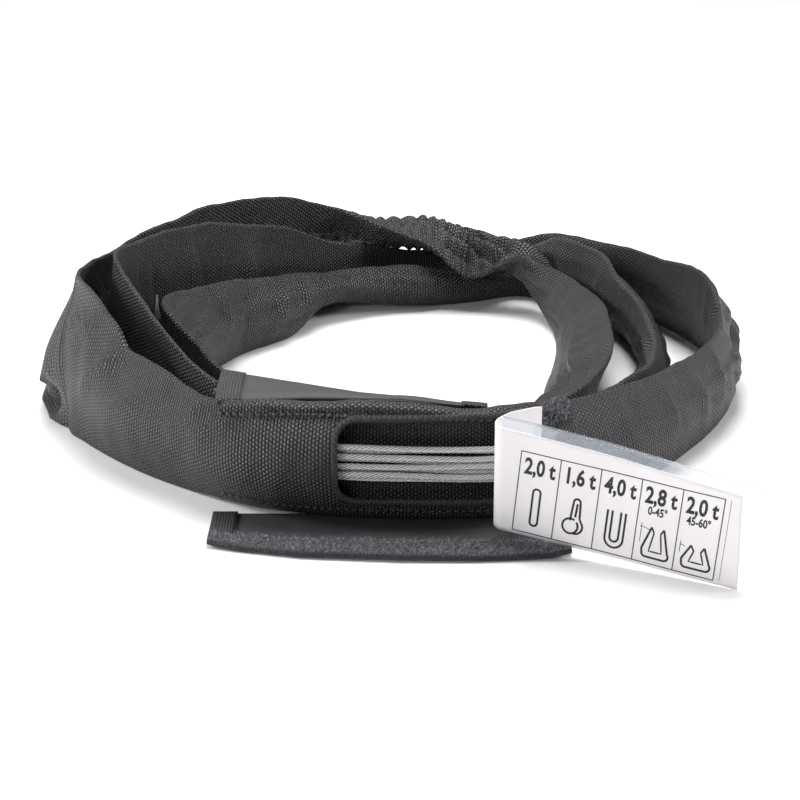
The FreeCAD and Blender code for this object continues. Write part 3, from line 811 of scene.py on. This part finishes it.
def lower_surface(x_from, x_to, y_from, y_to, base_z, lift=0.0):
    """Lower wing on the ground; its free edge runs back a little at the left end."""
    def place(a, b):
        x = x_from + (x_to - x_from) * a
        y = y_from + (y_to - y_from) * b
        free = np.clip((LOWER_FOLD_Y - y) / (LOWER_FOLD_Y - LOWER_FREE_Y), 0, 1.2)
        edge = np.interp(x, (-84, -70, -42, 0, 30, 72), (12.5, 7.5, 0.5, -3.2, -3.6, -0.5))
        z = base_z + free ** 2 * (0.5 + 0.4 * ripple(x / 60, y / 90, 31)) + lift
        z = z + free * 2.2 * np.exp((x - 72) / 5) + 0.8 * free * np.exp((-82 - x) / 5)
        return np.stack([x, y + edge * free, np.maximum(z, base_z)], axis=-1)
    return place


tape_y = LOWER_FREE_Y + TAPE
lower_lie = lower_surface(LOWER_X[0] + STRIP, LOWER_X[1] - STRIP, LOWER_FOLD_Y + 9, tape_y - 1.5, 0.05)
lower_panel = sheet_piece("flap_lower_cloth", lower_lie, 72, 22, CLOTH * 0.7, flap_cloth, (132, 30), -1.0)
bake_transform(lower_panel)
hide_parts("flap_lower_panel")


# Hook tape: 16 mm of charcoal hook pile sewn along the free edge of the lower wing, from end
# end, with the edge of the cloth folded under it. The coarse strips close the wing's ends.
def pile_finish(name, low_tone, high_tone, grain, depth):
    pile = Finish(name, 0.7, Sheen_Weight=0.15, Sheen_Roughness=0.4)
    u, v = pile.uv("weave")
    across = (u / 0.0014 * 2 * math.pi).math("SINE") * 0.5 + 0.5
    down = (v / 0.0016 * 2 * math.pi).math("SINE") * 0.5 + 0.5
    tufts = across * down
    fuzz = pile.noise(grain, 5.0, roughness=0.75)
    height = tufts * 0.45 + fuzz
    pile.put("Base Color", pile.mix((height - 0.25) * 1.25, low_tone, high_tone))
    pile.relief(height, depth)
    return pile.material


hook_pile = pile_finish("hook_pile", (0.003, 0.004, 0.005), (0.05, 0.055, 0.065), 900.0, 0.0011)
tape = sheet_piece("hook_tape_pile", lower_surface(LOWER_X[0], LOWER_X[1], tape_y, LOWER_FREE_Y, 0.95),
                   190, 20, 1.2, hook_pile, (154, 16), -1.0)
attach(tape, "flap_lower")
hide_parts("hook_tape")


def bristles(name, surface, count, tall, thick, material, seed):
    """Bent hairs of a pile, scattered over a surface."""
    dice = np.random.default_rng(seed)
    a, b = dice.uniform(0.004, 0.996, count), dice.uniform(0.02, 0.98, count)
    foot = surface(a, b) + COIL
    lean = dice.normal(0, 0.55, (count, 3))
    lean[:, 2] = np.abs(dice.normal(0.9, 0.2, count))
    bend = dice.normal(0, 0.5, (count, 3)) - np.array([0, 0, 0.35])
    size = tall * dice.uniform(0.55, 1.15, count)[:, None]
    rings = []
    for k, (f, wide) in enumerate(((0.0, 1.0), (0.5, 0.9), (1.0, 0.35))):
        spine = foot + size * (lean * f + bend * f * f)
        spine[:, 2] = np.maximum(spine[:, 2], 0.2)
        for corner in range(3):
            turn = 2 * math.pi * corner / 3
            rings.append(spine + np.array([math.cos(turn), math.sin(turn), 0.0]) * thick * wide)
    verts = np.stack(rings, axis=1).reshape(-1, 3) * MM
    quads = []
    for n in range(count):
        first = n * 9
        for ring in (0, 3):
            for k in range(3):
                m = (k + 1) % 3
                foot_edge = (first + ring + k, first + ring + m)
                quads.append(foot_edge + (first + ring + 3 + m, first + ring + 3 + k))
        quads += [(first + 6, first + 7, first + 8), (first + 2, first + 1, first)]
    corner_uv = np.zeros((sum(len(q) for q in quads), 2))
    return cloth_mesh(name, verts, quads, corner_uv, material)


def hair_finish():
    hair = Finish("hook_hair", 0.4)
    tint = hair.noise(700.0, 2.0)
    glint = (tint * 1.5 - 0.2).math("MAXIMUM", 0.0) ** 2.0
    hair.put("Base Color", hair.mix(glint, (0.006, 0.008, 0.012), (0.85, 0.9, 1.0)))
    return hair.material


hook_hair = hair_finish()
hook_lie = lower_surface(LOWER_X[0] + 0.6, LOWER_X[1] - 0.6, tape_y - 0.5, LOWER_FREE_Y + 0.4, 2.1)
hooks = bristles("hook_tape_hooks", hook_lie, 6000, 1.7, 0.085, hook_hair, 61)
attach(hooks, "flap_lower")

turnup_lie = lower_surface(LOWER_X[0], LOWER_X[1], tape_y + 2, LOWER_FREE_Y, 0.05)
hem = sheet_piece("flap_lower_turnup", turnup_lie, 72, 12, CLOTH * 0.85, flap_cloth, (154, 18), -1.0)
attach(hem, "flap_lower")
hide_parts("flap_lower_hem")

for node, x_from, x_to in (("flap_lower_strip_left", LOWER_X[0], LOWER_X[0] + STRIP),
                           ("flap_lower_strip_right", LOWER_X[1] - STRIP, LOWER_X[1])):
    strip = sheet_piece(node + "_cloth", lower_surface(x_from, x_to, LOWER_FOLD_Y + 9, tape_y + 2.5, 0.75),
                        6, 22, 0.9, strip_cloth, (STRIP, 20), -1.0)
    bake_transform(strip)
    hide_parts(node)


# Back panel of the flap: the middle of the strip, standing between the window leg and the
# turn behind it. The same smooth charcoal cloth, with no stitching to be seen.
UPPER_FOLD, UPPER_FREE_Y, UPPER_FREE_Z = (-150.4, 54.6), -116.0, (52.8, 33.0)


def back_y(x):
    return -151.2 + np.where(x > 0, 0.0045, 0.0030) * x ** 2


def fold_height(x):
    return np.interp(x, (-80, -42, 0, 38, 72), (52.6, 54.6, 54.2, 50.0, 47.6))


def upper_place(x, share, below=0.0):
    """Upper wing, from the fold over the leg's top to the free edge that leans back."""
    f = np.clip((x - UPPER_X[0]) / (UPPER_X[1] - UPPER_X[0]), 0, 1)
    free_z = UPPER_FREE_Z[0] + (UPPER_FREE_Z[1] - UPPER_FREE_Z[0]) * f
    y = UPPER_FOLD[0] + 0.8 + (UPPER_FREE_Y - UPPER_FOLD[0] - 0.8) * share
    z = fold_height(x) - 0.4 + (free_z - fold_height(x)) * share - below - 3.0 * np.exp(-share * 9)
    z = z + np.sin(np.pi * np.clip(share, 0, 1)) * 0.5 * ripple(x / 45, share * 1.4, 41)
    return np.stack([x + 0 * share, y, z], axis=-1)


def back_surface(a, b):
    x = LOWER_X[0] + (LOWER_X[1] - LOWER_X[0]) * a
    y = back_y(x)
    slope = (upper_place(x, 1 + 0 * x)[..., 2] - fold_height(x)) / (UPPER_FREE_Y - UPPER_FOLD[0])
    top = np.where(x > UPPER_X[1], fold_height(x) - 6.5,
                   fold_height(x) - 2.6 + slope * np.maximum(y + CLOTH - UPPER_FOLD[0], 0))
    return np.stack([x, y + CLOTH, 0.1 + (top - 0.1) * b], axis=-1)


back_panel = sheet_piece("flap_back_cloth", back_surface, 80, 24, CLOTH * 0.9, flap_cloth, (154, 52))
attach(back_panel, "root")
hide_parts("flap_back_panel")


# Upper wing: the same smooth cloth folded over the leg's top and leaning back on the turn
# behind, with a coarse woven strip sewn along each end and loop tape under its free edge.
def upper_surface(x_from, x_to, share_from, share_to, below):
    def place(a, b):
        return upper_place(x_from + (x_to - x_from) * a, share_from + (share_to - share_from) * b, below)
    return place


upper_lie = upper_surface(UPPER_X[0] + STRIP - 1, UPPER_X[1] - STRIP + 1, 0, 1, 0)
upper_panel = sheet_piece("flap_upper_cloth", upper_lie, 64, 24, CLOTH, flap_cloth, (98, 35))
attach(upper_panel, "flap_upper")
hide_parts("flap_upper_panel")

for node, x_from, x_to in (("flap_upper_strip_left", UPPER_X[0], UPPER_X[0] + STRIP),
                           ("flap_upper_strip_right", UPPER_X[1] - STRIP, UPPER_X[1])):
    strip = sheet_piece(node + "_cloth", upper_surface(x_from, x_to, 0, 1, -0.5), 8, 24, 1.0, strip_cloth,
                        (STRIP, 35))
    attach(strip, "flap_upper")
    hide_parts(node)

loop_pile = pile_finish("loop_pile", (0.012, 0.012, 0.013), (0.06, 0.06, 0.063), 1400.0, 0.0006)
loop = sheet_piece("loop_tape_pile", upper_surface(UPPER_X[0] + 1, UPPER_X[1] - 1, 0.52, 0.97, 2.3),
                   120, 14, 1.2, loop_pile, (116, 16))
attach(loop, "flap_upper")
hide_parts("loop_tape")


# Tag: a strip of white woven label, sewn to the window leg at its root and folded back over
# itself, with a clear film sleeve in front. It carries a load chart: for each way of slinging
# a small drawing and the safe load in tonnes.
TAG_ROUTE = [
    (71, -156, 34, 51), (58, -166, 20, 54), (47, -175, 10, 55), (41.5, -179.8, 8, 54),
    (40, -182.6, 7, 53), (42, -185.2, 6, 52), (55, -191, 5, 51), (84, -205.5, 3, 48),
    (114, -221, 1, 44), (137, -233, 0, 41), (145, -237, 0, 40),
]
tag_knots = np.array(TAG_ROUTE, float)
tag_steps = np.hypot(*np.diff(tag_knots[:, :2], axis=0).T)
tag_reach = np.concatenate(([0.0], np.cumsum(tag_steps)))


def tag_line(d):
    """Tag route at distance d from its root, rounded at the knots."""
    blur = np.array([-1.6, -0.8, 0.0, 0.8, 1.6])
    weight = np.array([1.0, 2.0, 3.0, 2.0, 1.0]) / 9
    total = 0
    for shift, part in zip(blur, weight):
        spot = np.clip(d + shift, 0, tag_reach[-1])
        total = total + part * np.stack([np.interp(spot, tag_reach, tag_knots[:, k]) for k in range(4)], -1)
    return total


def tag_place(d, h, out):
    """Place on the tag: d along it, h above its lower edge, out from its back, in mm."""
    line, after, before = tag_line(d), tag_line(d + 0.4), tag_line(d - 0.4)
    along = after[..., :2] - before[..., :2]
    along = along / np.linalg.norm(along, axis=-1)[..., None]
    wave = 0.5 * np.sin(d / 21.0) * np.clip((d - 55) / 40, 0, 1)
    x = line[..., 0] + along[..., 1] * (out + wave)
    y = line[..., 1] - along[..., 0] * (out + wave)
    return np.stack([x, y, line[..., 2] + h], axis=-1)


def tag_surface(d_from, d_to, grow_low, grow_high, out):
    def place(a, b):
        d = d_from + (d_to - d_from) * a
        line = tag_line(d)
        tall = line[..., 3] - line[..., 2]
        return tag_place(d, -grow_low + (tall + grow_low + grow_high) * b, out)
    return place


def tag_finish():
    woven_white = Finish("tag_white", 0.55)
    u, v = woven_white.uv("weave")
    fine = ((u / 0.0005 * 2 * math.pi).math("SINE") * (v / 0.0004 * 2 * math.pi).math("SINE")) * 0.5 + 0.5
    soft = woven_white.noise(60.0, 3.0)
    tone = soft * 0.6 + fine * 0.3
    woven_white.put("Base Color", woven_white.mix(tone, (0.86, 0.82, 0.84), (0.95, 0.92, 0.935)))
    woven_white.relief(fine, 0.00003)
    return woven_white.material


tag_white = tag_finish()
tag_lie = tag_surface(13.0, tag_reach[9], 0, 0, 0.0)
tag = sheet_piece("tag_strip", tag_lie, 220, 24, 0.6, tag_white, (151, 45))
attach(tag, "tag")
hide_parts("label_strip")


def film_finish():
    film = Finish("tag_film", 0.1, Transmission_Weight=0.5, IOR=1.35)
    cloud = film.noise(30.0, 1.0)
    film.put("Base Color", film.mix(cloud, (0.62, 0.70, 0.80), (0.92, 0.95, 1.0)))
    u, v = film.uv("weave")
    past_edge = ((v * 1000 - 45.4) * 0.8).math("MAXIMUM", (u * 1000 - 101.6) * 0.8)
    past_edge = past_edge.math("MAXIMUM", 0.0).math("MINIMUM", 1.0)
    film.put("Alpha", past_edge * (cloud * 0.25 + 0.3) + 0.012)
    return film.material


film = sheet_piece("tag_film_sleeve", tag_surface(46.0, tag_reach[10], 0, 6, 1.15), 160, 24, 0.2,
                   film_finish(), (110, 52))
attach(film, "tag")
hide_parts("label_film")


# Print on the tag: black ink, a row of five boxes with a drawing and a load in each. The
# letters and lines are thin shapes that lie on the strip.
CELL, CHART_LEFT, CHART_LOW, CHART_TALL = 17.9, 52.5, 1.6, 36.5


class Print:
    """Collects flat shapes in chart coordinates and lays them on the tag."""

    def __init__(self):
        self.verts, self.faces = [], []

    def shape(self, points, polygons):
        first = len(self.verts)
        self.verts += list(points)
        self.faces += [tuple(first + k for k in polygon) for polygon in polygons]

    def stroke(self, points, width=0.34):
        dense = []
        for (x0, y0), (x1, y1) in zip(points, points[1:]):
            parts = max(1, int(math.hypot(x1 - x0, y1 - y0) / 1.5))
            dense += [(x0 + (x1 - x0) * k / parts, y0 + (y1 - y0) * k / parts) for k in range(parts)]
        dense.append(points[-1])
        path = np.array(dense, float)
        ahead = np.gradient(path, axis=0)
        ahead /= np.linalg.norm(ahead, axis=1)[:, None]
        side = np.stack([-ahead[:, 1], ahead[:, 0]], axis=1) * width / 2
        rows = [tuple(p) for pair in zip(path - side, path + side) for p in pair]
        self.shape(rows, [(2 * k, 2 * k + 2, 2 * k + 3, 2 * k + 1) for k in range(len(path) - 1)])

    def write(self, text, x, y, size, narrow=0.74):
        bpy.ops.object.select_all(action="DESELECT")
        bpy.ops.object.text_add()
        letters = bpy.context.object
        letters.data.body, letters.data.size = text, size
        letters.data.align_x, letters.data.align_y = "CENTER", "CENTER"
        letters.data.resolution_u, letters.data.offset = 3, 0.03 * size
        bpy.ops.object.convert(target="MESH")
        letters = bpy.context.object
        self.shape([(v.co.x * narrow + x, v.co.y + y) for v in letters.data.vertices],
                   [tuple(p.vertices) for p in letters.data.polygons])
        bpy.ops.object.delete()

    def lay(self, name, out, material):
        flat = np.array(self.verts)
        d = CHART_LEFT + flat[:, 0] + 0.1 * (flat[:, 1] - CHART_TALL / 2)
        places = (tag_place(d, flat[:, 1] + CHART_LOW, out) + COIL) * MM
        corner_uv = [(0, 0)] * sum(len(f) for f in self.faces)
        return cloth_mesh(name, places, self.faces, corner_uv, material)


def arc(cx, cy, r, start, end, parts=14):
    angles = [math.radians(start + (end - start) * k / parts) for k in range(parts + 1)]
    return [(cx + r * math.cos(a), cy + r * math.sin(a)) for a in angles]


def load_chart():
    chart = Print()
    for k in range(6):
        chart.stroke([(k * CELL, 0), (k * CELL, CHART_TALL)], 0.45)
    for y in (0, CHART_TALL):
        chart.stroke([(0, y), (5 * CELL, y)], 0.45)
    loads = (("2,0 t", ""), ("1,6 t", ""), ("4,0 t", ""), ("2,8 t", "0-45\u00b0"), ("2,0 t", "45-60\u00b0"))
    for k, (load, angle) in enumerate(loads):
        middle = (k + 0.5) * CELL
        chart.write(load, middle, 30.0, 10.2)
        if angle:
            chart.write(angle, middle - 0.6, 23.4, 5.2)
    a, b, c, d, e = [(k + 0.5) * CELL for k in range(5)]
    chart.stroke(arc(a, 19.0, 1.7, 180, 0) + arc(a, 5.5, 1.7, 0, -180) + [(a - 1.7, 19.0)], 0.95)
    chart.stroke([(b - 1.9, 10.5), (b - 1.2, 19.0)] + arc(b + 0.3, 19.2, 1.5, 160, 0)
                 + [(b + 2.2, 12.0)] + arc(b + 0.4, 8.2, 3.4, 40, -100), 0.95)
    chart.stroke(arc(b - 1.6, 8.0, 3.4, 60, 400, 24), 0.95)
    chart.stroke([(b + 0.6, 18.6), (b + 0.2, 12.4)], 0.95)
    chart.stroke([(c - 4.0, 19.5), (c - 4.0, 7.0)] + arc(c, 7.0, 4.0, 180, 360) + [(c + 4.0, 19.5)], 0.95)
    chart.stroke([(c - 1.9, 19.5), (c - 1.9, 7.6)] + arc(c, 7.6, 1.9, 180, 360) + [(c + 1.9, 19.5)], 0.95)
    for middle, tall, wide in ((d + 0.6, 16.5, 6.0), (e + 0.6, 13.0, 6.4)):
        corner = [(middle - wide, 6.4)] + arc(middle - wide + 2.0, 4.6, 1.8, 180, 270, 6)
        corner += arc(middle + wide - 2.0, 4.6, 1.8, 270, 400, 8)
        chart.stroke([(middle - wide * 0.45, tall)] + corner + [(middle + wide * 0.45, tall)], 0.95)
        inner = [(middle - wide * 0.24, tall - 2.4), (middle - wide + 3.2, 5.6), (middle + wide - 3.2, 5.6),
                 (middle + wide * 0.24, tall - 2.4)]
        chart.stroke(inner, 0.7)
        chart.stroke([(middle - wide * 0.45, tall), (middle - wide * 0.24, tall - 2.4)], 0.8)
        chart.stroke([(middle + wide * 0.45, tall), (middle + wide * 0.24, tall - 2.4)], 0.8)
        chart.stroke([(middle - wide - 1.2, 9.0), (middle - wide - 1.2, tall + 1.0)], 0.3)
        chart.stroke(arc(middle - wide - 1.2, 8.0, tall - 8.6, 62, 94, 8), 0.3)
    chart.stroke([(5 * CELL + 2.6, 0.4), (5 * CELL + 2.6, CHART_TALL)], 0.2)
    ink = Finish("tag_ink", 0.5)
    grain = ink.noise(800.0)
    ink.put("Base Color", ink.mix(grain, (0.004, 0.004, 0.005), (0.012, 0.012, 0.014)))
    return chart.lay("tag_print", 0.66, ink.material)


tag_print = load_chart()
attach(tag_print, "tag")


# Tag root: a fuzzy black patch of pile over the end of the tag. It is stitched to the window
# leg on all four sides and holds the tag there.
def make_tag_patch():
    xs, zs = np.linspace(59.5, 75.0, 33), np.linspace(39.5, 48.6, 21)
    verts, quads, corner_uv = [], [], []
    for i, x in enumerate(xs):
        for j, z in enumerate(zs):
            place, out = front_place(x, z)
            edge = min(i, j, len(xs) - 1 - i, len(zs) - 1 - j)
            uneven = float(ripple(np.array(x / 2.1), np.array(z / 2.3), 51))
            proud = (0.35 if edge == 0 else 1.1) + 0.25 * uneven
            verts.append(place + out * proud * MM)
    for i in range(len(xs) - 1):
        for j in range(len(zs) - 1):
            k = i * len(zs) + j
            quads.append((k, k + len(zs), k + len(zs) + 1, k + 1))
            for p, q in ((i, j), (i + 1, j), (i + 1, j + 1), (i, j + 1)):
                corner_uv.append((xs[p] * MM, zs[q] * MM))
    fuzz = pile_finish("patch_pile", (0.0015, 0.0015, 0.0015), (0.012, 0.012, 0.012), 1100.0, 0.0012)
    piece = cloth_mesh("tag_root_patch", verts, quads, corner_uv, fuzz)
    thicken(piece, 1.0 * MM, -1.0)
    point_outwards(piece)
    return piece


def patch_surface(a, b):
    spots = [front_place(60.5 + 13.5 * p, 40.5 + 7.5 * q) for p, q in zip(a, b)]
    return np.array([(place + out * 1.0 * MM) / MM - COIL for place, out in spots])


patch = make_tag_patch()
patch_hair = bristles("tag_patch_hair", patch_surface, 900, 1.3, 0.09, hook_hair, 62)
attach(patch_hair, "root")
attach(patch, "root")
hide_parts("label_patch")


# Studio: a plain bright paper floor, a wide soft light overhead, one at each side and a small
# one in front. The world adds a little even light.
def floor_finish():
    paper = Finish("studio_paper", 0.9)
    tooth = paper.noise(200.0, 2.0)
    paper.put("Base Color", paper.mix(tooth, (0.93, 0.93, 0.93), (0.96, 0.96, 0.96)))
    return paper.material


bpy.ops.object.select_all(action="DESELECT")
bpy.ops.mesh.primitive_plane_add(size=8.0, location=(0, 0, -0.0002))
floor = bpy.context.object
floor.name = "studio_floor"
floor.data.materials.append(floor_finish())


def softbox(name, place, aim, size, power):
    bpy.ops.object.light_add(type="AREA", location=place)
    light = bpy.context.object
    light.name = name
    light.data.shape, light.data.size, light.data.energy = "SQUARE", size, power
    light.rotation_euler = (Vector(aim) - Vector(place)).to_track_quat("-Z", "Y").to_euler()
    return light


softbox("top_light", (0.0, 0.55, 1.45), (0, 0, 0), 0.9, 31)
softbox("left_light", (-1.3, 0.2, 0.7), (0, 0, 0.03), 0.45, 17)
softbox("right_light", (1.3, 0.2, 0.7), (0, 0, 0.03), 0.45, 11)
softbox("front_light", (-0.4, -1.0, 0.55), (0, -0.13, 0.03), 0.4, 3.2)
world = bpy.data.worlds.new("studio")
bpy.context.scene.world = world
world.use_nodes = True
world.node_tree.nodes["Background"].inputs["Color"].default_value = (1, 1, 1, 1)
world.node_tree.nodes["Background"].inputs["Strength"].default_value = 0.08
bpy.context.scene.view_settings.view_transform = "Standard"

CAMERA_TILT, CAMERA_FAR = math.radians(20), 1.1
aim = Vector((0.0029, 0.0244, -0.0032))
toward_camera = Vector((0, -math.cos(CAMERA_TILT), math.sin(CAMERA_TILT)))
bpy.ops.object.camera_add(location=aim + CAMERA_FAR * toward_camera)
camera = bpy.context.object
camera.name = "main_camera"
camera.rotation_euler = (math.pi / 2 - CAMERA_TILT, 0, 0)
camera.data.sensor_width, camera.data.lens = 36, 97.65
camera.data.clip_start = 0.01
bpy.context.scene.camera = camera
